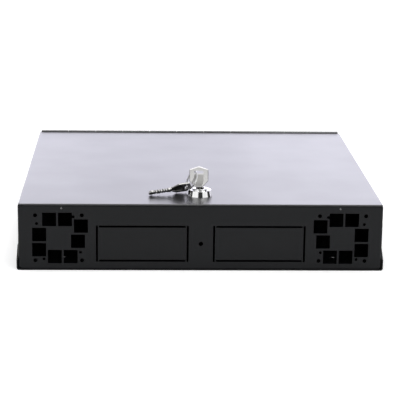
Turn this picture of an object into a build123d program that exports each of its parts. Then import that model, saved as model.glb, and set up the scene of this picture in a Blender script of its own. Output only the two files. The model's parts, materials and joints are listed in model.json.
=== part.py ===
from build123d import *
import math
import os

# Rack equipment lock box: a low black steel case with a rear-hinged lid, a cam lock in
# the lid near the front edge, two fan patterns and two knock-outs in the front wall.
# Millimetres. +X to the right seen from the front, +Y to the rear, +Z up. The origin is
# on the underside of the bottom pan, in the middle of the case.

# Case
case_width = 393.5
case_depth = 400.0
case_height = 73.5
wall_sheet = 1.2
wall_bend = 0.4
corner_bend = 3.0
rim_width = 14.0
rear_rim_width = 12.0
foot_rim_width = 12.0
mitre_slit = 0.5
seam = 0.05
rim_end_gap = 1.0
rear_bend_lap = 1.0
cut_overrun = 1.0

# Bottom pan
pan_sheet = 1.5
pan_bend = 1.5
pan_side_height = 23.5
pan_side_gap = 0.3
pan_nose_height = 11.5
pan_nose_run = 16.5
pan_hole_spacing = 300.0
pan_hole_radius = 3.2

# Front wall: fan patterns, knock-outs and the centre hole
fan_edge_distance = 43.65
fan_centre_height = 36.0
fan_hole_spacing = 50.0
fan_hole_radius = 2.15
small_fan_spacing = 40.0
small_fan_hole_radius = 1.6
small_fan_turn = 11.0
vent_square = 15.0
vent_square_round = 0.4
vent_squares = [(-10.0, 20.4), (7.0, 20.4), (24.0, 13.1), (20.8, -3.8),
                (-20.8, 3.6), (-21.0, -13.3), (-4.2, -20.9), (12.8, -20.9)]
knockout_edge_distance = 83.65
knockout_middle_distance = 13.1
knockout_height = 40.2
knockout_centre_height = 29.7
knockout_slot = 2.2
knockout_bridge = 1.2
centre_hole_radius = 2.4

# Side vents
side_slot_count = 9
side_slot_pitch = 11.0
side_slot_width = 4.0
side_slot_height = 30.0
side_slot_centre_height = 48.0

# Front rail, under which the cam catches
rail_length = 330.0
rail_depth = 14.0
rail_underside = 64.0
rail_leg_height = 6.2
rail_rivet_inset = 15.0
rail_rivet_drop = 4.5

# Lid
lid_sheet = 1.5
lid_gap = 0.2
lid_edge_setback = 0.5
lid_front_setback = 0.3
lid_edge_round = 1.2
lid_corner_round = 2.5
stiffener_spacing = 190.0
stiffener_leg = 14.0
stiffener_front_gap = 20.0
stiffener_rear_gap = 21.0

# Continuous hinge
leaf_sheet = 1.0
leaf_width = 16.0
pin_radius = 1.2
running_clearance = 0.05
knuckle_count = 11
knuckle_gap = 0.3
hinge_end_gap = 2.5
hinge_clearance = 0.3
leaf_notch = 0.4
pin_chamfer = 0.3
hinge_rivet_count = 6
hinge_rivet_inset = 26.0
hinge_rivet_drop = 10.0

# Rivets
rivet_head_height = 0.9
rivet_head_round = 0.72
rivet_head_radius = 2.6
rivet_shank_radius = 1.6
rivet_tail_height = 1.0
small_rivet_head_radius = 1.4
small_rivet_shank_radius = 0.9
corner_rivet_inset = 7.0
corner_rivet_heights = [15.0, 50.0]

# Cam lock
lock_setback = 42.0
collar_foot_radius = 13.8
collar_foot_height = 0.6
collar_top_radius = 12.2
collar_height = 7.0
collar_round = 0.5
lock_head_radius = 8.5
lock_head_height = 1.4
lock_head_round = 0.45
barrel_radius = 7.0
barrel_flat = 6.0
barrel_drop = 15.0
hole_clearance = 0.1
nut_clearance = 0.05
plug_radius = 5.2
plug_face_recess = 0.3
plug_end_recess = 0.1
keyway_width = 7.6
keyway_thickness = 2.3
keyway_end_wall = 0.7
wafer_thickness = 0.8
wafer_slot_thickness = 1.0
wafer_half_width = 3.1
wafer_clearance = 0.1
lock_washer_radius = 10.5
lock_washer_thickness = 0.8
nut_across_flats = 19.0
nut_height = 4.5
tail_square = 6.5
cam_sheet = 2.4
cam_width = 15.0
cam_reach = 34.0
cam_crank_start = 10.5
cam_crank_end = 18.0
cam_strike_gap = 0.3
cam_bend = 1.0
cam_tip_round = 4.5
cam_washer_radius = 6.0
cam_washer_thickness = 0.9
cam_screw_radius = 1.9
cam_screw_depth = 2.2
cam_screw_head_flats = 7.0
cam_screw_head_height = 2.8

# Keys
key_thickness = 2.0
bow_width = 20.6
bow_neck_width = 8.4
bow_offset = 1.5
bow_taper_height = 7.0
bow_side_height = 19.8
bow_peak_height = 23.4
bow_round = 0.6
bow_bevel = 0.45
bow_slot_length = 10.5
bow_slot_height = 3.0
bow_slot_centre = 17.0
bow_panel_width = 10.4
bow_panel_foot_width = 6.2
bow_panel_bottom = 1.6
bow_panel_shoulder = 6.6
bow_panel_top = 14.2
bow_panel_depth = 0.35
key_stop_width = 8.8
key_stop_height = 1.2
key_stop_gap = 0.1
blade_width = 7.2
blade_length = 25.0
blade_tip_width = 4.4
blade_tip_length = 2.4
blade_cut_depths = [1.5, 0.8, 1.3, 0.6, 1.6, 1.0]
blade_cut_pitch = 2.9
blade_cut_start = 5.2
blade_cut_flat = 0.8
blade_groove_width = 1.2
blade_groove_depth = 0.5

# Key ring and spare key, as they lie on the lid
ring_coil_height = 0.75
ring_coil_gap = 0.1
ring_wire_width = 1.2
ring_joggle_angle = 14.0
ring_split_gap_angle = 4.0
ring_radius = 10.1
ring_centre_x = -9.27
ring_centre_y = -0.77
ring_centre_drop = 8.97
ring_axis_turn = 21.34
ring_axis_dip = 25.63
spare_slot_x = -15.2
spare_slot_y = 6.3
spare_slot_drop = 18.3
spare_tip_height = 3.9
spare_yaw = -13.5
spare_lean = 322.35

# Derived places
front_y = -case_depth / 2
rear_y = case_depth / 2
side_x = case_width / 2
wall_outer_bend = wall_bend + wall_sheet
lid_top = case_height
lid_underside = lid_top - lid_sheet
rim_top = lid_underside - lid_gap
wall_foot = pan_sheet + wall_outer_bend
wall_straight_top = rim_top - wall_outer_bend
knuckle_radius = pin_radius + running_clearance + leaf_sheet
hinge_y = rear_y - knuckle_radius
hinge_z = lid_underside - seam - leaf_sheet + knuckle_radius
hinge_half_length = side_x - hinge_end_gap
rear_wall_y = rear_y - leaf_sheet - seam
rear_wall_top = hinge_z - knuckle_radius - hinge_clearance
lid_leaf_front_y = hinge_y - leaf_width
fan_x = side_x - fan_edge_distance
knockout_width = side_x - knockout_edge_distance - knockout_middle_distance
knockout_centre_x = knockout_middle_distance + knockout_width / 2
rail_rivet_xs = [rail_rivet_inset - rail_length / 2, rail_length / 2 - rail_rivet_inset]
corner_rivet_xs = [corner_rivet_inset - side_x, side_x - corner_rivet_inset]
hinge_rivet_pitch = 2 * (side_x - hinge_rivet_inset) / (hinge_rivet_count - 1)
hinge_rivet_xs = [hinge_rivet_inset - side_x + i * hinge_rivet_pitch for i in range(hinge_rivet_count)]
rail_front_y = front_y + wall_sheet + seam
lock_y = front_y + lock_setback
lock_top = lid_top + collar_height + lock_head_height
barrel_bottom = lid_underside - barrel_drop
plug_bottom = barrel_bottom - plug_end_recess
plug_top = lock_top - plug_face_recess
cam_top = plug_bottom - seam
cam_underside = cam_top - cam_sheet
cam_tip_top = rail_underside - cam_strike_gap
key_origin_height = plug_top + key_stop_gap + key_stop_height
key_slot_height = key_origin_height + bow_slot_centre
spare_slot_height = key_slot_height - spare_slot_drop


def side_view_plane(x):
    """Plane seen from the right: local x is +Y, local y is +Z, normal +X."""
    return Plane(origin=(x, 0, 0), x_dir=(0, 1, 0), z_dir=(1, 0, 0))


def front_view_plane(y):
    """Plane seen from the front: local x is +X, local y is +Z, normal -Y."""
    return Plane(origin=(0, y, 0), x_dir=(1, 0, 0), z_dir=(0, -1, 0))


def bent_sheet(plane, middle_points, thickness, inside_bend, length):
    """Folded sheet: its middle line in a plane, extruded along the plane's normal."""
    middle = FilletPolyline(*middle_points, radius=inside_bend + thickness / 2)
    return extrude(plane * trace(middle, thickness), amount=length)


def box_between(low, high):
    """Box from its lowest to its highest corner."""
    size = [b - a for a, b in zip(low, high)]
    middle = [(a + b) / 2 for a, b in zip(low, high)]
    return Pos(*middle) * Box(*size)


def tube(outer_radius, inner_radius, low, high):
    """Tube along Z between two heights."""
    ring = Circle(outer_radius) - Circle(inner_radius)
    return Pos(0, 0, low) * extrude(ring, amount=high - low)


def tube_solid(radius, low, high):
    """Cylinder along Z between two heights."""
    return Pos(0, 0, low) * Cylinder(radius, high - low, align=(Align.CENTER, Align.CENTER, Align.MIN))


def rivet(head_radius, shank_radius, grip):
    """Dome rivet along +Z: head above 0, shank down through the grip, tail below it."""
    tail_radius = (head_radius + shank_radius) / 2
    dome = tube_solid(head_radius, 0, rivet_head_height)
    dome = fillet(dome.edges().group_by(Axis.Z)[-1], min(rivet_head_round, rivet_head_height * 0.9))
    shank = tube_solid(shank_radius, -grip, 0)
    tail = tube_solid(tail_radius, -grip - rivet_tail_height, -grip)
    return dome + shank + tail


def front_wall_cuts():
    """Everything that is punched through the front wall, in the front view."""
    cuts = Pos(0, knockout_centre_height) * Circle(centre_hole_radius)
    for side in (-1, 1):
        cuts += fan_cuts(side)
        cuts += knockout_cuts(side)
    depth = 2 * wall_sheet
    return extrude(front_view_plane(front_y - wall_sheet / 2) * cuts, amount=-depth)


def fan_cuts(side):
    """One fan's square vents and its two hole patterns, mirrored on the right."""
    centre = Pos(side * fan_x, fan_centre_height)
    half = fan_hole_spacing / 2
    cuts = Sketch()
    for x, z in vent_squares:
        cuts += centre * Pos(-side * x, z) * RectangleRounded(vent_square, vent_square, vent_square_round)
    for x in (-half, half):
        for z in (-half, half):
            cuts += centre * Pos(x, z) * Circle(fan_hole_radius)
    small_reach = small_fan_spacing / 2 * math.sqrt(2)
    for corner in range(4):
        angle = math.radians(45 + 90 * corner + small_fan_turn)
        place = Pos(-side * small_reach * math.cos(angle), small_reach * math.sin(angle))
        cuts += centre * place * Circle(small_fan_hole_radius)
    return cuts


def knockout_cuts(side):
    """Slots round one knock-out plate: full-height ends, shorter long sides, corner bridges."""
    centre = Pos(side * knockout_centre_x, knockout_centre_height)
    end_x = knockout_width / 2 - knockout_slot / 2
    side_z = knockout_height / 2 - knockout_slot / 2
    side_length = knockout_width - 2 * knockout_slot - 2 * knockout_bridge
    cuts = Sketch()
    for sign in (-1, 1):
        cuts += centre * Pos(sign * end_x, 0) * Rectangle(knockout_slot, knockout_height)
        cuts += centre * Pos(0, sign * side_z) * Rectangle(side_length, knockout_slot)
    return cuts


def side_vent_cuts(side):
    """A row of upright slots through one side wall."""
    cuts = Sketch()
    middle = (side_slot_count - 1) / 2
    for i in range(side_slot_count):
        place = Pos((i - middle) * side_slot_pitch, side_slot_centre_height)
        cuts += place * Rot(0, 0, 90) * SlotOverall(side_slot_height, side_slot_width)
    return extrude(side_view_plane(side * side_x - wall_sheet) * cuts, amount=2 * wall_sheet, both=True)


def case_wrap():
    """Front wall and both side walls from one sheet, with rims turned in at the top."""
    half_front = side_x - corner_bend
    middle_z = rim_top - wall_sheet / 2
    front_points = [
        (front_y + foot_rim_width, pan_sheet + wall_sheet / 2),
        (front_y + wall_sheet / 2, pan_sheet + wall_sheet / 2),
        (front_y + wall_sheet / 2, middle_z),
        (front_y + rim_width, middle_z),
    ]
    wrap = bent_sheet(side_view_plane(-half_front), front_points, wall_sheet, wall_bend, 2 * half_front)
    wrap -= front_wall_cuts()
    for side in (-1, 1):
        wrap += side_wall(side)
        wrap -= side_vent_cuts(side)
        wrap -= mitre_cut(side)
    rail_rivet_z = lid_top - rail_rivet_drop
    for x in rail_rivet_xs:
        wrap -= Pos(x, front_y, rail_rivet_z) * Rot(90, 0, 0) * Cylinder(
            small_rivet_shank_radius, 4 * wall_sheet)
    return wrap


def side_wall(side):
    """One side wall with its front corner bend, top rim and rear rim."""
    middle_x = side * (side_x - wall_sheet / 2)
    middle_z = rim_top - wall_sheet / 2
    start_y = front_y + corner_bend
    rim_end_y = lid_leaf_front_y - rim_end_gap
    rear_rim_y = rear_wall_y - wall_sheet - seam - wall_sheet / 2
    upright = wall_straight_top - wall_foot
    rim_points = [(middle_x, wall_foot), (middle_x, middle_z), (side * (side_x - rim_width), middle_z)]
    wall = bent_sheet(front_view_plane(rim_end_y), rim_points, wall_sheet, wall_bend, rim_end_y - start_y)
    rear_points = [
        (middle_x, rim_end_y - rear_bend_lap),
        (middle_x, rear_rim_y),
        (side * (side_x - rear_rim_width), rear_rim_y),
    ]
    wall += bent_sheet(Plane.XY.offset(wall_foot), rear_points, wall_sheet, wall_bend, upright)
    corner = CenterArc((0, 0), corner_bend - wall_sheet / 2, 270 if side > 0 else 180, 90)
    corner_place = Pos(side * (side_x - corner_bend), start_y, wall_foot)
    wall += corner_place * extrude(trace(corner, wall_sheet), amount=upright)
    rivet_x = side * (side_x - corner_rivet_inset)
    for z in corner_rivet_heights:
        wall -= Pos(rivet_x, rear_wall_y, z) * Rot(90, 0, 0) * Cylinder(rivet_shank_radius, 8 * wall_sheet)
    return wall


def mitre_cut(side):
    """Slit at 45 degrees between the front rim and one side rim."""
    length = 2 * rim_width
    reach = length / 2 / math.sqrt(2)
    centre_x = side * (side_x - corner_bend + mitre_slit - reach)
    centre_y = front_y + corner_bend - mitre_slit + reach
    slit = Rot(0, 0, -45 * side) * Box(length, mitre_slit, 2 * wall_sheet)
    return Pos(centre_x, centre_y, rim_top - wall_sheet / 2) * slit


def bottom_pan():
    """Floor sheet with sides turned up outside the case, noses cut back at both ends."""
    middle_x = side_x + pan_side_gap + pan_sheet / 2
    points = [
        (-middle_x, pan_side_height),
        (-middle_x, pan_sheet / 2),
        (middle_x, pan_sheet / 2),
        (middle_x, pan_side_height),
    ]
    length = rear_wall_y - front_y
    pan = bent_sheet(front_view_plane(rear_wall_y), points, pan_sheet, pan_bend, length)
    for end_y, inward in ((front_y, 1), (rear_wall_y, -1)):
        nose = Polyline((end_y, pan_nose_height), (end_y, pan_side_height),
                        (end_y + inward * pan_nose_run, pan_side_height), close=True)
        pan -= extrude(side_view_plane(0) * make_face(nose), amount=case_width, both=True)
    for x in (-pan_hole_spacing / 2, pan_hole_spacing / 2):
        for y in (-pan_hole_spacing / 2, pan_hole_spacing / 2):
            pan -= Pos(x, y, 0) * Cylinder(pan_hole_radius, 4 * pan_sheet)
    return pan


def rear_panel():
    """Rear wall: a plate over the side walls' rear rims, with rims turned in above and below."""
    middle_y = rear_wall_y - wall_sheet / 2
    rim_y = rear_wall_y - rear_rim_width
    rim_half = side_x - rear_rim_width - rim_end_gap
    points = [
        (rim_y, pan_sheet + wall_sheet / 2),
        (middle_y, pan_sheet + wall_sheet / 2),
        (middle_y, rear_wall_top - wall_sheet / 2),
        (rim_y, rear_wall_top - wall_sheet / 2),
    ]
    panel = bent_sheet(side_view_plane(-rim_half), points, wall_sheet, wall_bend, 2 * rim_half)
    panel += box_between((-side_x + hole_clearance, rear_wall_y - wall_sheet, wall_foot),
                         (side_x - hole_clearance, rear_wall_y, rear_wall_top - wall_outer_bend))
    for x in hinge_rivet_xs:
        panel -= Pos(x, rear_wall_y, hinge_z - hinge_rivet_drop) * Rot(90, 0, 0) * Cylinder(
            rivet_shank_radius, 4 * wall_sheet)
    for x in corner_rivet_xs:
        for z in corner_rivet_heights:
            panel -= Pos(x, rear_wall_y, z) * Rot(90, 0, 0) * Cylinder(rivet_shank_radius, 4 * wall_sheet)
    return panel


def front_rail():
    """Angle riveted inside the front wall; the cam catches under its level leg."""
    middle_y = rail_front_y + wall_sheet / 2
    points = [
        (middle_y, rail_underside + rail_leg_height),
        (middle_y, rail_underside + wall_sheet / 2),
        (rail_front_y + rail_depth, rail_underside + wall_sheet / 2),
    ]
    rail = bent_sheet(side_view_plane(-rail_length / 2), points, wall_sheet, wall_bend, rail_length)
    for x in rail_rivet_xs:
        rail -= Pos(x, front_y, lid_top - rail_rivet_drop) * Rot(90, 0, 0) * Cylinder(
            small_rivet_shank_radius, 8 * wall_sheet)
    return rail


def front_rivets():
    """The two small rivets that hold the front rail."""
    grip = 2 * wall_sheet + seam
    shape = rivet(small_rivet_head_radius, small_rivet_shank_radius, grip)
    z = lid_top - rail_rivet_drop
    return [Pos(x, front_y, z) * Rot(90, 0, 0) * shape for x in rail_rivet_xs]


def corner_rivets():
    """Rivets through the rear wall into the side walls' rear rims."""
    shape = rivet(rivet_head_radius, rivet_shank_radius, 2 * wall_sheet + seam)
    return [Pos(x, rear_wall_y, z) * Rot(-90, 0, 0) * shape
            for x in corner_rivet_xs for z in corner_rivet_heights]


def hinge_rivets():
    """Rivets through the hinge's rear leaf into the rear wall."""
    shape = rivet(rivet_head_radius, rivet_shank_radius, leaf_sheet + seam + wall_sheet)
    z = hinge_z - hinge_rivet_drop
    return [Pos(x, rear_y, z) * Rot(-90, 0, 0) * shape for x in hinge_rivet_xs]


def hinge_leaf(on_lid):
    """One leaf with every second knuckle, rolled from the leaf's own sheet."""
    pitch = 2 * hinge_half_length / knuckle_count
    bore = Circle(pin_radius + running_clearance)
    notch = knuckle_radius + leaf_notch
    tab = Pos(knuckle_radius - leaf_sheet / 2, -notch / 2) * Rectangle(leaf_sheet, notch)
    section = Circle(knuckle_radius) + tab - bore
    strip = Pos(knuckle_radius - leaf_sheet / 2, -(leaf_width + notch) / 2) * Rectangle(
        leaf_sheet, leaf_width - notch)
    leaf = extrude(strip, amount=2 * hinge_half_length)
    for i in range(knuckle_count):
        if (i % 2 == 1) == on_lid:
            knuckle = extrude(section, amount=pitch - knuckle_gap)
            leaf += Pos(0, 0, i * pitch + knuckle_gap / 2) * knuckle
    if on_lid:
        turn = Plane(origin=(-hinge_half_length, hinge_y, hinge_z), x_dir=(0, 0, -1), z_dir=(1, 0, 0))
    else:
        turn = Plane(origin=(-hinge_half_length, hinge_y, hinge_z), x_dir=(0, 1, 0), z_dir=(1, 0, 0))
    leaf = turn.location * leaf
    if not on_lid:
        for x in hinge_rivet_xs:
            leaf -= Pos(x, rear_y, hinge_z - hinge_rivet_drop) * Rot(90, 0, 0) * Cylinder(
                rivet_shank_radius, 4 * leaf_sheet)
    return leaf


def hinge_pin():
    """Pin through all the knuckles."""
    pin = Cylinder(pin_radius, 2 * hinge_half_length)
    pin = chamfer(pin.edges(), min(pin_chamfer, pin_radius / 2))
    return Pos(0, hinge_y, hinge_z) * Rot(0, 90, 0) * pin


def lid_panel():
    """Flat lid with a rounded front edge and the lock's double-D hole."""
    front = front_y + lid_front_setback
    rear = hinge_y - knuckle_radius - hinge_clearance
    half = side_x - lid_edge_setback
    panel = box_between((-half, front, lid_underside), (half, rear, lid_top))
    front_corners = panel.edges().filter_by(Axis.Z).group_by(Axis.Y)[0]
    panel = fillet(front_corners, lid_corner_round)
    panel = round_lid_edges(panel)
    hole = Circle(barrel_radius + hole_clearance) & Rectangle(
        4 * barrel_radius, 2 * (barrel_flat + hole_clearance))
    panel -= Pos(0, lock_y, lid_underside) * extrude(hole, amount=2 * lid_sheet, both=True)
    return panel


def round_lid_edges(panel):
    """Rounds the top edge at the front and along both sides."""
    top = panel.faces().sort_by(Axis.Z)[-1]
    around = top.edges().sort_by(Axis.Y)[:-1]
    return fillet(around, min(lid_edge_round, lid_sheet * 0.8))


def lid_stiffener(side):
    """Angle spot-welded under the lid from front to rear."""
    top_middle = lid_underside - seam - wall_sheet / 2
    web_x = side * stiffener_spacing / 2
    points = [
        (web_x + side * stiffener_leg, top_middle),
        (web_x, top_middle),
        (web_x, lid_underside - stiffener_leg),
    ]
    rear = hinge_y - stiffener_rear_gap
    length = rear - (front_y + stiffener_front_gap)
    return bent_sheet(front_view_plane(rear), points, wall_sheet, wall_bend, length)


def lock_collar():
    """Conical trim collar on the lid, bored for the lock barrel."""
    profile = Polyline(
        (barrel_radius + hole_clearance, 0),
        (collar_foot_radius, 0),
        (collar_foot_radius, collar_foot_height),
        (collar_top_radius, collar_height),
        (barrel_radius + hole_clearance, collar_height),
        close=True,
    )
    section = make_face(profile)
    top_corner = section.vertices().sort_by_distance((collar_top_radius, collar_height))[0]
    section = fillet(top_corner, collar_round)
    collar = revolve(Plane.XZ * section, axis=Axis.Z)
    return Pos(0, lock_y, lid_top) * collar


def lock_housing():
    """Threaded barrel with two flats below a round head, bored for the plug."""
    head = tube_solid(lock_head_radius, lock_top - lock_head_height, lock_top)
    head = fillet(head.edges().group_by(Axis.Z)[-1], lock_head_round)
    barrel = tube_solid(barrel_radius, barrel_bottom, lock_top - lock_head_height)
    for side in (-1, 1):
        flat = box_between((-barrel_radius, 0, barrel_bottom), (barrel_radius, barrel_radius, lid_top))
        barrel -= Rot(0, 0, 90 - 90 * side) * Pos(0, barrel_flat, 0) * flat
    bore = tube_solid(plug_radius + running_clearance, barrel_bottom - cut_overrun, lock_top + cut_overrun)
    return Pos(0, lock_y, 0) * (head + barrel - bore)


def lock_washer():
    """Flat washer between the lid and the lock's nut."""
    high = lid_underside
    return Pos(0, lock_y, 0) * tube(lock_washer_radius, barrel_radius + hole_clearance,
                                    high - lock_washer_thickness, high)


def lock_nut():
    """Hexagon nut that clamps the lock in the lid."""
    high = lid_underside - lock_washer_thickness
    hexagon = RegularPolygon(nut_across_flats / 2, 6, major_radius=False)
    nut = extrude(hexagon - Circle(barrel_radius + nut_clearance), amount=nut_height)
    return Pos(0, lock_y, high - nut_height) * nut


def wafer_heights():
    """Heights of the wafers' undersides, each level with a cut in the key."""
    first = key_origin_height - blade_cut_start - wafer_thickness / 2
    return [first - i * blade_cut_pitch for i in range(len(blade_cut_depths))]


def lock_plug():
    """Turning plug with its keyway, wafer slots and the square tail that drives the cam."""
    plug = tube_solid(plug_radius, plug_bottom, plug_top)
    tail = box_between((-tail_square / 2, -tail_square / 2, cam_underside + seam),
                       (tail_square / 2, tail_square / 2, plug_bottom))
    keyway = box_between((-keyway_width / 2, -keyway_thickness / 2, plug_bottom + keyway_end_wall),
                         (keyway_width / 2, keyway_thickness / 2, plug_top + cut_overrun))
    plug = plug + tail - keyway
    slot_half = wafer_half_width + wafer_clearance
    for z in wafer_heights():
        plug -= box_between((-2 * plug_radius, -slot_half, z - wafer_clearance),
                            (2 * plug_radius, slot_half, z - wafer_clearance + wafer_slot_thickness))
    screw_hole_top = cam_underside + cam_screw_depth + seam
    plug -= tube_solid(cam_screw_radius + hole_clearance, cam_underside, screw_hole_top)
    return Pos(0, lock_y, 0) * plug


def wafers():
    """Flat wafers across the plug, each with a window for the key."""
    outline = Circle(plug_radius - wafer_clearance) & Rectangle(4 * plug_radius, 2 * wafer_half_width)
    window = Rectangle(keyway_width + wafer_clearance, keyway_thickness + wafer_clearance)
    return [Pos(0, lock_y, z) * extrude(outline - window, amount=wafer_thickness) for z in wafer_heights()]


def cam():
    """Cranked cam, pointing to the right when the lock is open."""
    base_z = cam_top - cam_sheet / 2
    tip_z = cam_tip_top - cam_sheet / 2
    points = [(-cam_width, base_z), (cam_crank_start, base_z), (cam_crank_end, tip_z), (cam_reach, tip_z)]
    strip = bent_sheet(front_view_plane(cam_width / 2), points, cam_sheet, cam_bend, cam_width)
    half = cam_width / 2
    plan = Circle(half) + Pos(cam_reach / 2, 0) * Rectangle(cam_reach, cam_width)
    plan = fillet(plan.vertices().group_by(Axis.X)[-1], min(cam_tip_round, half * 0.9))
    plan -= Rectangle(tail_square + hole_clearance, tail_square + hole_clearance)
    strip &= Pos(0, 0, cam_underside - cut_overrun) * extrude(plan, amount=4 * cam_sheet + cam_reach)
    return Pos(0, lock_y, 0) * strip


def cam_washer():
    """Washer between the cam and its screw."""
    washer = tube(cam_washer_radius, cam_screw_radius + hole_clearance,
                  cam_underside - cam_washer_thickness, cam_underside)
    return Pos(0, lock_y, 0) * washer


def cam_screw():
    """Hexagon-headed screw into the plug's tail."""
    head_top = cam_underside - cam_washer_thickness
    hexagon = RegularPolygon(cam_screw_head_flats / 2, 6, major_radius=False)
    head = Pos(0, 0, head_top - cam_screw_head_height) * extrude(hexagon, amount=cam_screw_head_height)
    shank = tube_solid(cam_screw_radius, head_top, cam_underside + cam_screw_depth)
    return Pos(0, lock_y, 0) * (head + shank)


def bow_outline():
    """Outline of the key's bow: tapered neck, straight sides and a peaked top."""
    half = bow_width / 2
    neck = bow_neck_width / 2
    outline = Polyline(
        (-neck, 0), (neck, 0), (half, bow_taper_height), (half, bow_side_height),
        (0, bow_peak_height), (-half, bow_side_height), (-half, bow_taper_height), close=True)
    face = make_face(outline)
    upper = face.vertices().filter_by(lambda v: v.Y > bow_taper_height / 2)
    return Pos(-bow_offset, 0) * fillet(upper, bow_round)


def blade_outline():
    """Outline of the key's stop and blade, with cuts in both edges."""
    half = blade_width / 2
    tip = blade_tip_width / 2
    stop = Pos(0, -key_stop_height / 2) * Rectangle(key_stop_width, key_stop_height)
    blade = make_face(Polyline(
        (-half, 0), (half, 0), (half, -blade_length + blade_tip_length), (tip, -blade_length),
        (-tip, -blade_length), (-half, -blade_length + blade_tip_length), close=True))
    for i, depth in enumerate(blade_cut_depths):
        y = -blade_cut_start - i * blade_cut_pitch
        reach = depth + blade_cut_flat / 2
        for side in (-1, 1):
            notch = make_face(Polyline(
                (side * half, y - reach), (side * (half - depth), y - blade_cut_flat / 2),
                (side * (half - depth), y + blade_cut_flat / 2), (side * half, y + reach),
                (side * (half + cut_overrun), y + reach), (side * (half + cut_overrun), y - reach),
                close=True))
            blade -= notch
    return stop + blade


def bevelled_bow():
    """The bow as a plate with both its faces bevelled all round, except across the neck."""
    plate = extrude(Plane.XZ * bow_outline(), amount=key_thickness / 2, both=True)
    face_edges = plate.edges().group_by(Axis.Y)[0] + plate.edges().group_by(Axis.Y)[-1]
    around = face_edges.filter_by(lambda e: e.center().Z > bow_round)
    return chamfer(around, min(bow_bevel, key_thickness * 0.4))


def key_blank():
    """Key in its own frame: width along X, thickness along Y, peak of the bow towards +Z."""
    plate = bevelled_bow()
    plate += extrude(Plane.XZ * blade_outline(), amount=key_thickness / 2, both=True)
    slot = Pos(-bow_offset, bow_slot_centre) * SlotOverall(bow_slot_length, bow_slot_height)
    plate -= extrude(Plane.XZ * slot, amount=key_thickness, both=True)
    panel_half = bow_panel_width / 2
    foot_half = bow_panel_foot_width / 2
    panel = Pos(-bow_offset, 0) * make_face(Polyline(
        (-foot_half, bow_panel_bottom), (foot_half, bow_panel_bottom), (panel_half, bow_panel_shoulder),
        (panel_half, bow_panel_top), (-panel_half, bow_panel_top), (-panel_half, bow_panel_shoulder),
        close=True))
    groove_height = blade_length - key_stop_height
    groove = Pos(0, -key_stop_height - groove_height / 2) * Rectangle(blade_groove_width, groove_height)
    for side in (-1, 1):
        face_y = side * key_thickness / 2
        plate -= Pos(0, face_y, 0) * extrude(Plane.XZ * panel, amount=bow_panel_depth, both=True)
        plate -= Pos(0, face_y, 0) * extrude(Plane.XZ * groove, amount=blade_groove_depth, both=True)
    return plate


def working_key():
    """The key that stands in the lock."""
    return Pos(0, lock_y, key_origin_height) * key_blank()


def spare_key_plane():
    """Frame of the spare key, with its origin in the middle of its bow slot."""
    reach = bow_slot_centre + blade_length
    slope = math.asin((spare_slot_height - lid_top - spare_tip_height) / reach)
    yaw = math.radians(spare_yaw)
    lean = math.radians(spare_lean)
    to_tip = Vector(-math.cos(slope) * math.cos(yaw), math.cos(slope) * math.sin(yaw), -math.sin(slope))
    level = Vector(math.sin(yaw), math.cos(yaw), 0)
    upward = level.cross(to_tip)
    across = level * math.cos(lean) + upward * math.sin(lean)
    origin = Vector(spare_slot_x, lock_y + spare_slot_y, spare_slot_height)
    return Plane(origin=origin, x_dir=across, z_dir=to_tip * -1)


def spare_key():
    """The spare key, its tip on the lid and its bow held up by the key ring."""
    return spare_key_plane().location * Pos(bow_offset, 0, -bow_slot_centre) * key_blank()


def ring_plane():
    """Frame of the key ring: its centre, with Z along the ring's axis."""
    turn = math.radians(ring_axis_turn)
    dip = math.radians(ring_axis_dip)
    axis = Vector(math.cos(dip) * math.cos(turn), math.cos(dip) * math.sin(turn), -math.sin(dip))
    centre = Vector(ring_centre_x, lock_y + ring_centre_y, key_slot_height - ring_centre_drop)
    return Plane(origin=centre, x_dir=(math.sin(dip), 0, math.cos(dip) * math.cos(turn)), z_dir=axis)


def key_ring():
    """Split ring of two coils, joined where one coil steps over to the other."""
    coil_middle = (ring_coil_height + ring_coil_gap) / 2
    coil = Pos(ring_radius, coil_middle) * Rectangle(ring_wire_width, ring_coil_height)
    step = Pos(ring_radius, 0) * Rectangle(ring_wire_width, 2 * ring_coil_height + ring_coil_gap)
    sweep_angle = 360 - ring_joggle_angle - ring_split_gap_angle
    start = 90 + ring_joggle_angle / 2
    upper = Rot(0, 0, start) * revolve(Plane.XZ * coil, axis=Axis.Z, revolution_arc=sweep_angle)
    lower = Rot(0, 0, 180) * Rot(180, 0, 0) * upper
    joggle = Rot(0, 0, 90 - ring_joggle_angle / 2) * revolve(
        Plane.XZ * step, axis=Axis.Z, revolution_arc=ring_joggle_angle)
    return ring_plane().location * (upper + lower + joggle)


def write(name, shape):
    """Writes one node; a list becomes a group of separate solids."""
    if isinstance(shape, list):
        shape = Compound(children=[item.solid() for item in shape])
    shape.label = name
    export_step(shape, os.path.join("parts", name + ".step"))


os.makedirs("parts", exist_ok=True)

write("case_wrap", case_wrap())
write("bottom_pan", bottom_pan())
write("rear_panel", rear_panel())
write("front_rail", front_rail())
write("front_rivets", front_rivets())
write("corner_rivets", corner_rivets())
write("hinge_leaf_case", hinge_leaf(False))
write("hinge_leaf_lid", hinge_leaf(True))
write("hinge_pin", hinge_pin())
write("hinge_rivets", hinge_rivets())
write("lid_panel", lid_panel())
write("lid_stiffener_left", lid_stiffener(-1))
write("lid_stiffener_right", lid_stiffener(1))
write("lock_collar", lock_collar())
write("lock_housing", lock_housing())
write("lock_washer", lock_washer())
write("lock_nut", lock_nut())
write("lock_plug", lock_plug())
write("wafers", wafers())
write("cam", cam())
write("cam_washer", cam_washer())
write("cam_screw", cam_screw())
write("working_key", working_key())
write("key_ring", key_ring())
write("spare_key", spare_key())
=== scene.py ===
import bmesh
import bpy
import json
import math
from mathutils import Matrix, Vector


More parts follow.
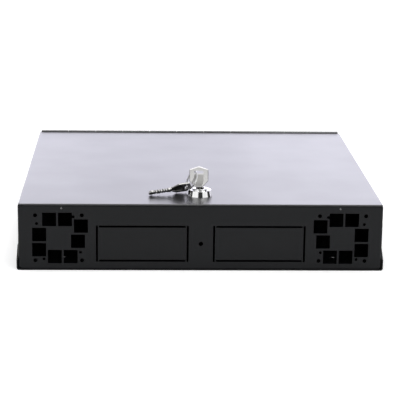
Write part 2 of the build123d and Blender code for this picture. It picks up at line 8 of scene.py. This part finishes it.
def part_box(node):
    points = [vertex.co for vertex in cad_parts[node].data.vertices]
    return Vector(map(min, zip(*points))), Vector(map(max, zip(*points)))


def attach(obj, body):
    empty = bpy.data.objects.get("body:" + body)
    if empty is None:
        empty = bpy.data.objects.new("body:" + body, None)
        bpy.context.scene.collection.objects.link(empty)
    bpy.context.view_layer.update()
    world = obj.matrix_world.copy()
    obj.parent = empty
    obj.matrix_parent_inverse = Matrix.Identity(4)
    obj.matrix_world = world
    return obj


# Rack equipment lock box: finishes, small details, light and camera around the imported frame.
# Lengths are in metres, in the frame's own axes: +X right, +Y to the rear hinge, +Z up.

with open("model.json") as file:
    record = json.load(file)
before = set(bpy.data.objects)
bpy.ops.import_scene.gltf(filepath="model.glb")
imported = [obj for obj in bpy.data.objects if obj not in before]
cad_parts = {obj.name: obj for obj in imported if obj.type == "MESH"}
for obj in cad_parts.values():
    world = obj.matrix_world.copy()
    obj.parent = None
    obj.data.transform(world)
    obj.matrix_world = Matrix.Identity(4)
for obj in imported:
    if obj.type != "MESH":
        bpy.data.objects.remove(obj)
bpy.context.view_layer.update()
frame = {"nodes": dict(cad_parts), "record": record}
scene = bpy.context.scene

# Camera, solved from the front wall's holes and the lid's outline
camera_place = Vector((-0.0677, -1.8812, 0.4855))
camera_yaw = math.radians(2.254)
camera_pitch = math.radians(13.60)
camera_roll = math.radians(0.743)
camera_lens = 145.31
camera_sensor = 36.0
camera_nearest = 0.05
camera_farthest = 100.0

# Thread on the lock's barrel: flats by their distance from the axis, half widths as shares of the pitch
barrel_flat = 0.006
thread_pitch = 0.001
thread_root = 0.00695
thread_crest = 0.00725
root_half = 0.42
crest_half = 0.08
thread_steps = 24

# Spot welds under the lid: domes that hang below the sheet by a height and are sunk in it by a depth
stiffener_sheet = 0.0012
weld_count = 7
weld_radius = 0.0024
weld_height = 0.00018
weld_depth = 0.0001
weld_end_gap = 0.018
weld_rings = 3
weld_sides = 20

# Parts of a noise's range over which a colour, or a number, runs from low to high
colour_range = (0.35, 0.65)
number_range = (0.3, 0.7)

# Powder coat: cloudiness as shares of colour and sheen, peel some grains wide, fine grain less deep
cloud_size = 0.06
cloud_detail = 4.0
cloud_colour = 0.12
cloud_sheen = 0.08
grain_detail = 2.0
peel_grains = 5
fine_share = 0.5

# Plating: haze as a share of the colour, and as factors on the roughness
haze_size = 0.006
haze_detail = 4.0
haze_colour = 0.08
haze_bright = 0.75
haze_dull = 1.3
brush_detail = 3.0

# Nickel of the keys: bright faces and edges, and in the sunk panels and grooves a satin roughness with a
# darker colour that is painted shade
key_panel_depth = 0.00035
# Darker colour of the sunk panels: painted shade
panel_nickel_painted_shade = (0.415, 0.41, 0.40)
face_nickel = (0.50, 0.495, 0.49)
face_roughness = (0.13, 0.20)
panel_added_roughness = 0.14
speckle_size = 0.0003
speckle_depth = 0.000006

# Studio around the object: angles in degrees, azimuths from -Y towards +X, levels as shares of white
dark_strips = [(-146.0, -79.0), (-19.0, 23.0), (75.0, 107.0)]
dark_strip_heights = (2.0, 41.0)
dark_level = 0.04
ceiling_start = 46.0
ceiling_level = 0.05
strip_side_softness = 2.0
strip_end_softness = 1.5
ceiling_softness = 3.0
matt_level = 0.35

# Colour cast of the rear backdrop in mirrored rays, and the run of Y over which it comes in
rear_cast = (0.92, 0.91, 1.0)
rear_turn = (0.0, 0.4)

# Floor: its paint, and the glow that the camera sees, weaker near the object to keep its shadow
floor_half = 30.0
floor_paint = (0.82, 0.82, 0.82)
floor_roughness = 0.9
floor_glow_seen = 0.36
floor_fade = (0.5, 1.4)

# Floor's glow in mirrored rays, by ranges of Y: none far in front, and little at the object's foot, where
# the lower glow is a painted shadow in reflections
floor_glow_mirrored = 0.55
floor_front_fade = (-0.80, -0.45)
# Span, softness and level of the painted shadow at the object's foot
floor_painted_shadow_span = (-0.27, 0.20)
floor_painted_shadow_softness = 0.06
floor_painted_shadow_level = 0.2

# Soft boxes: three hang behind the object at one distance
rear_distance = 2.6
object_middle = (0.0, 0.0, 0.05)
white = (1.0, 1.0, 1.0)


# Shader node helpers

def link_math(tree, operation, first, second=None, third=None):
    """Math node of one to three inputs, each a socket or a number."""
    node = tree.nodes.new("ShaderNodeMath")
    node.operation = operation
    for i, value in enumerate(v for v in (first, second, third) if v is not None):
        if isinstance(value, float):
            node.inputs[i].default_value = value
        else:
            tree.links.new(value, node.inputs[i])
    return node.outputs[0]


def smooth_step(tree, value, low, high):
    """0 below low, 1 above high, with a soft run between."""
    node = tree.nodes.new("ShaderNodeMapRange")
    node.interpolation_type = "SMOOTHSTEP"
    node.inputs["From Min"].default_value = low
    node.inputs["From Max"].default_value = high
    tree.links.new(value, node.inputs["Value"])
    return node.outputs["Result"]


def band(tree, value, low, high, soft):
    """1 between two values, 0 outside, with soft edges."""
    above = smooth_step(tree, value, low - soft, low + soft)
    beyond = smooth_step(tree, value, high - soft, high + soft)
    return link_math(tree, "SUBTRACT", above, beyond)


def mirrored_ray(tree, path):
    """1 for the rays that mirror or pass on the surroundings."""
    return link_math(tree, "MAXIMUM", path.outputs["Is Glossy Ray"], path.outputs["Is Transmission Ray"])


def noise(tree, size, detail, stretch=(1.0, 1.0, 1.0)):
    """Noise of one feature size in metres, in the object's own coordinates."""
    place = tree.nodes.new("ShaderNodeTexCoord")
    mapping = tree.nodes.new("ShaderNodeMapping")
    mapping.inputs["Scale"].default_value = stretch
    texture = tree.nodes.new("ShaderNodeTexNoise")
    texture.inputs["Scale"].default_value = 1.0 / size
    texture.inputs["Detail"].default_value = detail
    tree.links.new(place.outputs["Object"], mapping.inputs["Vector"])
    tree.links.new(mapping.outputs["Vector"], texture.inputs["Vector"])
    return texture.outputs["Fac"]


def colour_run(tree, factor, low, high):
    """Colour that runs from low to high over the middle of the factor's range."""
    node = tree.nodes.new("ShaderNodeValToRGB")
    for stop, position, colour in zip(node.color_ramp.elements, colour_range, (low, high)):
        stop.position = position
        stop.color = (*colour, 1.0)
    tree.links.new(factor, node.inputs["Fac"])
    return node.outputs["Color"]


def number_run(tree, factor, low, high):
    """Number that runs from low to high over the middle of the factor's range."""
    node = tree.nodes.new("ShaderNodeMapRange")
    node.inputs["From Min"].default_value = number_range[0]
    node.inputs["From Max"].default_value = number_range[1]
    node.inputs["To Min"].default_value = low
    node.inputs["To Max"].default_value = high
    tree.links.new(factor, node.inputs["Value"])
    return node.outputs["Result"]


def bump(tree, heights, shader):
    """Stacks (factor, depth in metres) pairs as bumps on the shader's normal."""
    last = None
    for factor, depth in heights:
        node = tree.nodes.new("ShaderNodeBump")
        node.inputs["Distance"].default_value = depth
        tree.links.new(factor, node.inputs["Height"])
        if last is not None:
            tree.links.new(last, node.inputs["Normal"])
        last = node.outputs["Normal"]
    tree.links.new(last, shader.inputs["Normal"])


def scaled(colour, factor):
    """A colour made darker or lighter."""
    return tuple(c * factor for c in colour)


# Materials

def new_material(name):
    """Node material with nothing but a Principled shader on its output."""
    material = bpy.data.materials.new(name)
    material.use_nodes = True
    tree = material.node_tree
    tree.nodes.clear()
    output = tree.nodes.new("ShaderNodeOutputMaterial")
    shader = tree.nodes.new("ShaderNodeBsdfPrincipled")
    tree.links.new(shader.outputs["BSDF"], output.inputs["Surface"])
    return material, tree, shader


def powder_coat(name, colour, roughness, specular, grain, grain_depth):
    """Black powder coat: fine orange peel, faint cloudiness in colour and sheen."""
    material, tree, shader = new_material(name)
    cloud = noise(tree, cloud_size, cloud_detail)
    fine = noise(tree, grain, grain_detail)
    peel = noise(tree, grain * peel_grains, grain_detail)
    paint = colour_run(tree, cloud, scaled(colour, 1 - cloud_colour), scaled(colour, 1 + cloud_colour))
    sheen = number_run(tree, cloud, roughness * (1 - cloud_sheen), roughness * (1 + cloud_sheen))
    tree.links.new(paint, shader.inputs["Base Color"])
    tree.links.new(sheen, shader.inputs["Roughness"])
    shader.inputs["Specular IOR Level"].default_value = specular
    bump(tree, [(peel, grain_depth), (fine, grain_depth * fine_share)], shader)
    return material


def clear_gloss(material, roughness):
    """Clear coat over a finish."""
    shader = material.node_tree.nodes["Principled BSDF"]
    shader.inputs["Coat Weight"].default_value = 1.0
    shader.inputs["Coat Roughness"].default_value = roughness
    shader.inputs["Coat IOR"].default_value = 1.5
    return material


def plated(name, colour, roughness, brush, brush_depth, stretch=(1.0, 1.0, 1.0)):
    """Plated metal: fine brushing or casting texture and a faint haze."""
    material, tree, shader = new_material(name)
    haze = noise(tree, haze_size, haze_detail)
    lines = noise(tree, brush, brush_detail, stretch)
    metal = colour_run(tree, haze, scaled(colour, 1 - haze_colour), colour)
    polish = number_run(tree, haze, roughness * haze_bright, roughness * haze_dull)
    tree.links.new(metal, shader.inputs["Base Color"])
    tree.links.new(polish, shader.inputs["Roughness"])
    shader.inputs["Metallic"].default_value = 1.0
    bump(tree, [(lines, brush_depth)], shader)
    return material


def key_plane(node):
    """Normal of a key's flat faces, its middle plane's distance along it and half its thickness."""
    mesh = frame["nodes"][node].data
    normal = max(mesh.polygons, key=lambda polygon: polygon.area).normal.copy()
    heights = [vertex.co.dot(normal) for vertex in mesh.vertices]
    return normal, (min(heights) + max(heights)) / 2, (max(heights) - min(heights)) / 2


def raised_part(tree, node):
    """1 on a key's outer faces, 0 in its sunk panels and grooves."""
    normal, middle, half = key_plane(node)
    place = tree.nodes.new("ShaderNodeTexCoord")
    along = tree.nodes.new("ShaderNodeVectorMath")
    along.operation = "DOT_PRODUCT"
    along.inputs[1].default_value = normal
    tree.links.new(place.outputs["Object"], along.inputs[0])
    off = link_math(tree, "SUBTRACT", along.outputs["Value"], middle)
    height = link_math(tree, "ABSOLUTE", off)
    return smooth_step(tree, height, half - key_panel_depth, half - key_panel_depth / 3)


def key_finish_and_panel_shade(name, node):
    """Bright nickel on the key's faces and edges; in its sunk panels and grooves a satin roughness and a
    darker colour that is painted shade.
    """
    material, tree, shader = new_material(name)
    raised = raised_part(tree, node)
    haze = noise(tree, haze_size, haze_detail)
    speckle = noise(tree, speckle_size, brush_detail)
    # Darker colour in the sunk panels is painted shade; the roughness added there below is the satin finish
    shaded_panel_colour = colour_run(tree, haze, scaled(panel_nickel_painted_shade, 1 - haze_colour), panel_nickel_painted_shade)
    face = colour_run(tree, haze, scaled(face_nickel, 1 - haze_colour), face_nickel)
    mix = tree.nodes.new("ShaderNodeMix")
    mix.data_type = "RGBA"
    tree.links.new(raised, mix.inputs["Factor"])
    tree.links.new(shaded_panel_colour, mix.inputs["A"])
    tree.links.new(face, mix.inputs["B"])
    tree.links.new(mix.outputs["Result"], shader.inputs["Base Color"])
    polish = number_run(tree, haze, *face_roughness)
    sunk = link_math(tree, "SUBTRACT", 1.0, raised)
    satin = link_math(tree, "MULTIPLY", sunk, panel_added_roughness)
    tree.links.new(link_math(tree, "ADD", polish, satin), shader.inputs["Roughness"])
    shader.inputs["Metallic"].default_value = 1.0
    bump(tree, [(speckle, speckle_depth)], shader)
    return material


def make_materials():
    """One material for each of the record's slots."""
    satin_case = powder_coat("case_paint", colour=(0.0088, 0.0094, 0.0106), roughness=0.46,
                             specular=0.19, grain=0.0004, grain_depth=0.00003)
    smooth_lid = powder_coat("lid_paint", colour=(0.010, 0.010, 0.012), roughness=0.34,
                             specular=0.5, grain=0.0005, grain_depth=0.000002)
    return {
        "case_paint": satin_case,
        "lid_paint": clear_gloss(smooth_lid, roughness=0.36),
        "hinge_black": powder_coat("hinge_black", colour=(0.030, 0.030, 0.033), roughness=0.22,
                                   specular=1.0, grain=0.0005, grain_depth=0.00001),
        "rivet_black": powder_coat("rivet_black", colour=(0.020, 0.020, 0.021), roughness=0.16,
                                   specular=1.0, grain=0.0004, grain_depth=0.000003),
        "steel": plated("steel", colour=(0.52, 0.52, 0.53), roughness=0.28,
                        brush=0.0004, brush_depth=0.00001, stretch=(0.05, 1.0, 1.0)),
        "zinc": plated("zinc", colour=(0.60, 0.62, 0.66), roughness=0.30,
                       brush=0.0006, brush_depth=0.00001),
        "lock_chrome": plated("lock_chrome", colour=(0.92, 0.92, 0.925), roughness=0.07,
                              brush=0.0012, brush_depth=0.000001),
        "wafer_brass": plated("wafer_brass", colour=(0.72, 0.55, 0.26), roughness=0.25,
                              brush=0.0004, brush_depth=0.000005),
        "key_nickel": key_finish_and_panel_shade("key_nickel", "working_key"),
        "ring_nickel": plated("ring_nickel", colour=(0.93, 0.93, 0.93), roughness=0.40,
                              brush=0.0004, brush_depth=0.000003),
    }


def give_finish(node, material):
    """Makes one material the node's only one."""
    mesh = frame["nodes"][node].data
    mesh.materials.clear()
    mesh.materials.append(material)


def finish_nodes(materials):
    """Gives each node its slot's material, and the spare key its own, which follows how it lies."""
    for row in frame["record"]["subparts"]:
        give_finish(row["node"], materials[row["material_slot"]])
    give_finish("spare_key", key_finish_and_panel_shade("key_nickel_spare", "spare_key"))


# Small details

def add_piece(name, vertices, faces, material, body):
    """Closed mesh piece that rides on a body and takes its finish from a slot."""
    mesh = bpy.data.meshes.new(name)
    mesh.from_pydata([tuple(v) for v in vertices], [], faces)
    mesh.materials.append(material)
    shape = bmesh.new()
    shape.from_mesh(mesh)
    bmesh.ops.recalc_face_normals(shape, faces=shape.faces)
    shape.to_mesh(mesh)
    shape.free()
    piece = bpy.data.objects.new(name, mesh)
    scene.collection.objects.link(piece)
    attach(piece, body)


def swept_run(profile, steps, start, sweep, rise, centre):
    """Vertices and faces of a closed profile of (radius, height) swept up round a vertical axis."""
    vertices, faces = [], []
    count = len(profile)
    for i in range(steps + 1):
        angle = start + sweep * i / steps
        lift = rise * i / steps
        for radius, height in profile:
            across = Vector((radius * math.cos(angle), radius * math.sin(angle), height + lift))
            vertices.append(centre + across)
    for i in range(steps):
        for j in range(count):
            a = i * count + j
            b = i * count + (j + 1) % count
            faces.append((a, b, b + count, a + count))
    faces.append(tuple(range(count)))
    faces.append(tuple(steps * count + j for j in range(count)))
    return vertices, faces


def barrel_thread(material):
    """Thread on the lock's barrel below the nut, broken by the barrel's two flats."""
    barrel_low, barrel_high = (Vector(corner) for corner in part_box("lock_housing"))
    nut_low = Vector(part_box("lock_nut")[0])
    middle = (barrel_low + barrel_high) / 2
    turns = int((nut_low.z - barrel_low.z) / thread_pitch) - 1
    reach = math.asin(barrel_flat / thread_crest)
    rise = thread_pitch * reach / math.pi
    profile = [(thread_root, -root_half * thread_pitch), (thread_crest, -crest_half * thread_pitch),
               (thread_crest, crest_half * thread_pitch), (thread_root, root_half * thread_pitch)]
    vertices, faces = [], []
    for i in range(2 * turns):
        height = barrel_low.z + thread_pitch * (0.5 + i / 2)
        centre = Vector((middle.x, middle.y, height))
        run, run_faces = swept_run(profile, thread_steps, math.pi * i - reach, 2 * reach, rise, centre)
        faces += [tuple(v + len(vertices) for v in face) for face in run_faces]
        vertices += run
    add_piece("barrel_thread", vertices, faces, material, "lid")


def weld_dimple(centre):
    """Vertices and faces of one shallow dome that hangs below a sheet."""
    vertices = [centre + Vector((0, 0, -weld_height))]
    for k in range(1, weld_rings + 1):
        share = k / weld_rings
        for j in range(weld_sides):
            angle = 2 * math.pi * j / weld_sides
            vertices.append(centre + Vector((weld_radius * share * math.cos(angle),
                                             weld_radius * share * math.sin(angle),
                                             -weld_height * (1 - share ** 2))))
    rim = 1 + (weld_rings - 1) * weld_sides
    inside = len(vertices)
    vertices += [vertices[rim + j] + Vector((0, 0, weld_depth)) for j in range(weld_sides)]
    faces = [(0, 1 + j, 1 + (j + 1) % weld_sides) for j in range(weld_sides)]
    for k in range(weld_rings):
        first = 1 + k * weld_sides
        for j in range(weld_sides):
            a = first + j
            b = first + (j + 1) % weld_sides
            faces.append((a, a + weld_sides, b + weld_sides, b))
    faces.append(tuple(inside + j for j in range(weld_sides)))
    return vertices, faces


def spot_welds(side, material):
    """Row of weld dimples along the leg that holds one stiffener to the lid."""
    low, high = (Vector(corner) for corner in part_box("lid_stiffener_" + side))
    if side == "left":
        x = (low.x + high.x - stiffener_sheet) / 2
    else:
        x = (low.x + high.x + stiffener_sheet) / 2
    first = low.y + weld_end_gap
    pitch = (high.y - weld_end_gap - first) / (weld_count - 1)
    vertices, faces = [], []
    for i in range(weld_count):
        dome, dome_faces = weld_dimple(Vector((x, first + i * pitch, high.z - stiffener_sheet)))
        faces += [tuple(v + len(vertices) for v in face) for face in dome_faces]
        vertices += dome
    add_piece("spot_welds_" + side, vertices, faces, material, "lid")


# World and floor

def surroundings(tree):
    """Brightness of the studio by direction, and how far the direction points to the rear."""
    place = tree.nodes.new("ShaderNodeTexCoord")
    split = tree.nodes.new("ShaderNodeSeparateXYZ")
    tree.links.new(place.outputs["Generated"], split.inputs[0])
    x, y, z = split.outputs
    degree = math.degrees(1.0)
    forward = link_math(tree, "MULTIPLY", y, -1.0)
    azimuth = link_math(tree, "MULTIPLY", link_math(tree, "ARCTAN2", x, forward), degree)
    height = link_math(tree, "MULTIPLY", link_math(tree, "ARCSINE", z), degree)
    strips = [band(tree, azimuth, low, high, strip_side_softness) for low, high in dark_strips]
    dark = strips[0]
    for strip in strips[1:]:
        dark = link_math(tree, "MAXIMUM", dark, strip)
    between_ends = band(tree, height, *dark_strip_heights, strip_end_softness)
    dark = link_math(tree, "MULTIPLY", dark, between_ends)
    ceiling = smooth_step(tree, height, ceiling_start - ceiling_softness, ceiling_start + ceiling_softness)
    level = link_math(tree, "MULTIPLY",
                      link_math(tree, "MULTIPLY_ADD", dark, dark_level - 1.0, 1.0),
                      link_math(tree, "MULTIPLY_ADD", ceiling, ceiling_level - 1.0, 1.0))
    return level, smooth_step(tree, y, *rear_turn)


def make_world():
    """White backdrop for the camera, the studio's light and dark sides for the rest."""
    world = bpy.data.worlds.new("studio")
    scene.world = world
    world.use_nodes = True
    tree = world.node_tree
    tree.nodes.clear()
    output = tree.nodes.new("ShaderNodeOutputWorld")
    sky = tree.nodes.new("ShaderNodeBackground")
    path = tree.nodes.new("ShaderNodeLightPath")
    mirrored = mirrored_ray(tree, path)
    level, rear = surroundings(tree)
    not_mirrored = link_math(tree, "SUBTRACT", 1.0, mirrored)
    soft = link_math(tree, "MULTIPLY", not_mirrored, matt_level)
    other = link_math(tree, "MULTIPLY_ADD", mirrored, level, soft)
    tree.links.new(link_math(tree, "MAXIMUM", path.outputs["Is Camera Ray"], other), sky.inputs["Strength"])
    tint = tree.nodes.new("ShaderNodeMix")
    tint.data_type = "RGBA"
    tint.inputs["A"].default_value = (*white, 1.0)
    tint.inputs["B"].default_value = (*rear_cast, 1.0)
    tree.links.new(link_math(tree, "MULTIPLY", rear, mirrored), tint.inputs["Factor"])
    tree.links.new(tint.outputs["Result"], sky.inputs["Color"])
    tree.links.new(sky.outputs[0], output.inputs["Surface"])


def floor_glow(tree):
    """Brightness that the floor adds for the camera and for mirrored rays, by place on the floor, with a
    painted shadow at the object's foot in mirrored rays.
    """
    path = tree.nodes.new("ShaderNodeLightPath")
    place = tree.nodes.new("ShaderNodeTexCoord")
    split = tree.nodes.new("ShaderNodeSeparateXYZ")
    distance = tree.nodes.new("ShaderNodeVectorMath")
    distance.operation = "LENGTH"
    tree.links.new(place.outputs["Object"], split.inputs[0])
    tree.links.new(place.outputs["Object"], distance.inputs[0])
    away = smooth_step(tree, distance.outputs["Value"], *floor_fade)
    open_floor = link_math(tree, "MULTIPLY_ADD", away, 1.0 - floor_glow_seen, floor_glow_seen)
    seen = link_math(tree, "MULTIPLY", path.outputs["Is Camera Ray"], open_floor)
    near = smooth_step(tree, split.outputs["Y"], *floor_front_fade)
    # Less glow in mirrored rays at the object's foot: a painted shadow
    painted_foot_shadow = band(tree, split.outputs["Y"], *floor_painted_shadow_span, floor_painted_shadow_softness)
    glow_beside_painted_shadow = link_math(tree, "MULTIPLY_ADD", painted_foot_shadow, floor_painted_shadow_level - 1.0, 1.0)
    level = link_math(tree, "MULTIPLY", link_math(tree, "MULTIPLY", near, glow_beside_painted_shadow), floor_glow_mirrored)
    return link_math(tree, "MULTIPLY_ADD", mirrored_ray(tree, path), level, seen)


def make_floor():
    """Pale floor: white away from the object, with the object's shadow kept."""
    mesh = bpy.data.meshes.new("floor")
    corners = [(-1, -1), (1, -1), (1, 1), (-1, 1)]
    mesh.from_pydata([(x * floor_half, y * floor_half, 0) for x, y in corners], [], [(0, 1, 2, 3)])
    floor = bpy.data.objects.new("floor", mesh)
    scene.collection.objects.link(floor)
    material, tree, shader = new_material("floor")
    shader.inputs["Base Color"].default_value = (*floor_paint, 1.0)
    shader.inputs["Roughness"].default_value = floor_roughness
    shader.inputs["Specular IOR Level"].default_value = 0.0
    glow = tree.nodes.new("ShaderNodeEmission")
    add = tree.nodes.new("ShaderNodeAddShader")
    tree.links.new(floor_glow(tree), glow.inputs["Strength"])
    tree.links.new(shader.outputs[0], add.inputs[0])
    tree.links.new(glow.outputs[0], add.inputs[1])
    tree.links.new(add.outputs[0], tree.nodes["Material Output"].inputs["Surface"])
    mesh.materials.append(material)


# Lamps and camera

def area_light(name, place, target, width, height, radiance, colour=white, mirrored=True):
    """Soft box of a given surface brightness that faces a target and is hidden from the camera."""
    light = bpy.data.lights.new(name, "AREA")
    light.shape = "RECTANGLE"
    light.size = width
    light.size_y = height
    light.energy = radiance * math.pi * width * height
    light.color = colour
    lamp = bpy.data.objects.new(name, light)
    lamp.location = place
    lamp.rotation_mode = "QUATERNION"
    lamp.rotation_quaternion = (Vector(target) - Vector(place)).to_track_quat("-Z", "Y")
    lamp.visible_camera = False
    lamp.visible_glossy = mirrored
    scene.collection.objects.link(lamp)


def make_lamps():
    """Rear boxes that the lid mirrors, a box above, one in front and a fill."""
    area_light("rear_box", (0.0, rear_distance, 0.60), object_middle,
               width=4.6, height=1.2, radiance=1.00, colour=(0.85, 0.84, 1.0))
    area_light("rear_box_right", (0.62, rear_distance, 0.95), object_middle,
               width=0.75, height=1.9, radiance=0.34, colour=(0.92, 0.92, 1.0))
    area_light("rear_box_left", (-0.52, rear_distance, 0.95), object_middle,
               width=0.60, height=1.9, radiance=0.20, colour=(0.95, 0.95, 1.0))
    area_light("top_box", (0.0, -0.15, 2.1), (0.0, -0.15, 0.0), width=2.4, height=1.5, radiance=3.4)
    area_light("front_box", (0.6, -1.15, 2.0), (0.0, -0.15, 0.05), width=0.9, height=0.9, radiance=2.5)
    area_light("front_fill", (0.0, -2.6, 1.7), (0.0, -0.2, 0.0), width=2.4, height=1.2, radiance=0.5,
               mirrored=False)


def make_camera():
    """Camera at the photograph's viewing place."""
    data = bpy.data.cameras.new("camera")
    data.lens = camera_lens
    data.sensor_width = camera_sensor
    data.clip_start = camera_nearest
    data.clip_end = camera_farthest
    camera = bpy.data.objects.new("camera", data)
    scene.collection.objects.link(camera)
    ahead = Vector((math.sin(camera_yaw) * math.cos(camera_pitch),
                    math.cos(camera_yaw) * math.cos(camera_pitch), -math.sin(camera_pitch)))
    right = Vector((math.cos(camera_yaw), -math.sin(camera_yaw), 0.0))
    up = right.cross(ahead)
    across = right * math.cos(camera_roll) + up * math.sin(camera_roll)
    above = up * math.cos(camera_roll) - right * math.sin(camera_roll)
    rotation = Matrix((across, above, -ahead)).transposed()
    camera.matrix_world = Matrix.Translation(camera_place) @ rotation.to_4x4()
    scene.camera = camera


materials = make_materials()
finish_nodes(materials)
barrel_thread(materials["lock_chrome"])
spot_welds("left", materials["case_paint"])
spot_welds("right", materials["case_paint"])
scene.view_settings.view_transform = "Standard"
make_world()
make_floor()
make_lamps()
make_camera()
